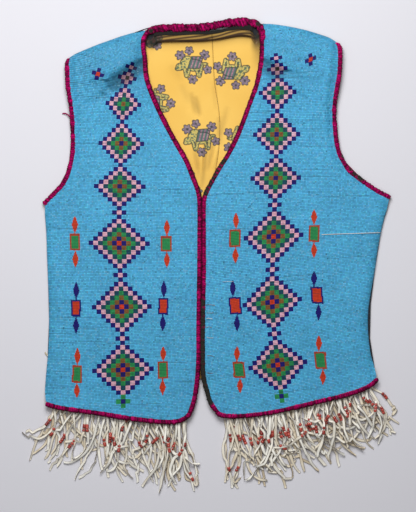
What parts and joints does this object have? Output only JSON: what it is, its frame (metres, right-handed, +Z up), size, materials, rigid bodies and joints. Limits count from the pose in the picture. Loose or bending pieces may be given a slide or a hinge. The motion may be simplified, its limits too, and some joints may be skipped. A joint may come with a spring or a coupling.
{
  "type": "beaded vest",
  "caption": "Sleeveless beaded vest lying flat, front up: two beaded hide fronts over a lined cloth back, wound wool binding and thong fringe at the hems.",
  "frame": {"origin": "centre of the bounding box on the surface that the vest lies on", "axes": "+X to the viewer's right across the fronts, +Y from the hem to the neck, +Z up from the surface, out of the beaded side"},
  "size_m": [0.5196, 0.6518, 0.017],
  "materials": {
    "beaded_hide": "rows of small light blue glass beads sewn on hide, with stepped lozenges",
    "plain_cloth": "matt dark wool cloth",
    "yellow_cotton": "matt printed cotton",
    "dark_facing": "matt cloth",
    "wool_binding": "wound wool yarn",
    "buckskin": "soft matt buckskin thongs"
  },
  "bodies": {
    "root": {"back_panel": "plain_cloth", "back_lining_left": "yellow_cotton", "back_lining_right": "yellow_cotton", "neck_facing": "dark_facing", "front_left": "beaded_hide", "front_right": "beaded_hide", "neck_binding_back": "wool_binding", "edge_binding_left": "wool_binding", "edge_binding_right": "wool_binding", "armhole_binding_left": "wool_binding", "armhole_binding_right": "wool_binding", "back_armhole_binding_left": "wool_binding", "back_armhole_binding_right": "wool_binding", "fringe_left": "buckskin", "fringe_right": "buckskin"}
  },
  "joints": []
}
